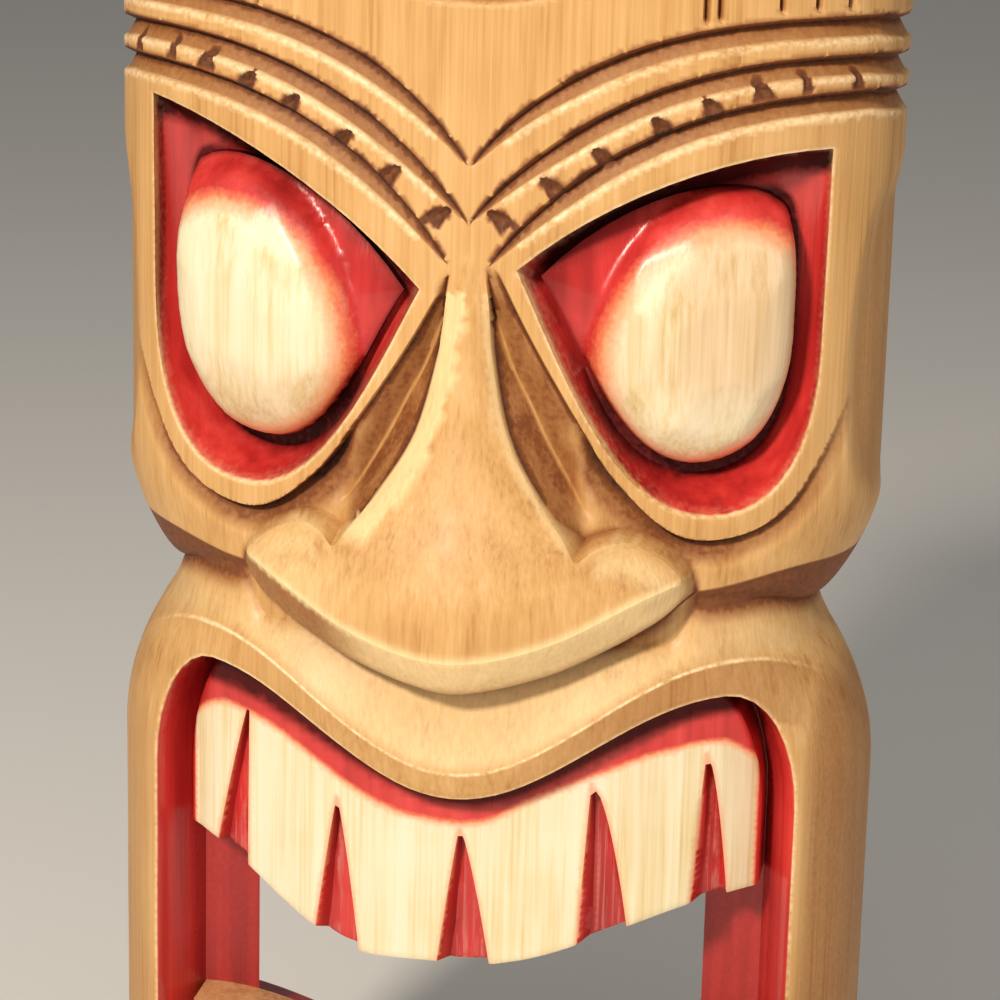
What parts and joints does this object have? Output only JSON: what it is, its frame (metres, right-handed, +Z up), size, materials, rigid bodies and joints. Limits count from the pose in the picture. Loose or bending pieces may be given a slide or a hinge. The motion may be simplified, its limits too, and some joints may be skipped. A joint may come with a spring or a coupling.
{
  "type": "carved tiki wall mask",
  "caption": "Tall half-log tiki mask with brow bands, broad nose, let-in eyes, toothed open mouth, flat back and base, and a ring hanger.",
  "frame": {"origin": "middle of the sawn base, halfway through the depth", "axes": "+Z up along the log, +X to the right of someone who faces the mask, the face looks towards -Y"},
  "size_m": [0.22, 0.09, 0.5],
  "materials": {
    "carved_wood": "honey stain under clear lacquer, brown in the cuts, red paint in the sockets and mouth",
    "cream_wood": "pale bare wood under clear lacquer, red shading at the edges",
    "pin_wood": "bare",
    "hanger_metal": "yellow zinc plate"
  },
  "bodies": {
    "mask": {"mask_block": "carved_wood", "left_eyeball": "cream_wood", "right_eyeball": "cream_wood", "upper_teeth": "cream_wood", "lower_teeth": "cream_wood", "teeth_pins": "pin_wood", "hanger_strap": "hanger_metal", "hanger_screws": "hanger_metal"},
    "ring": {"hanger_ring": "hanger_metal"}
  },
  "joints": [
    {"name": "ring_swing", "type": "hinge", "parent": "mask", "child": "ring", "pos_m": [0, 0.03928, 0.44], "axis": [1, 0, 0], "range_deg": [0, 180]}
  ]
}
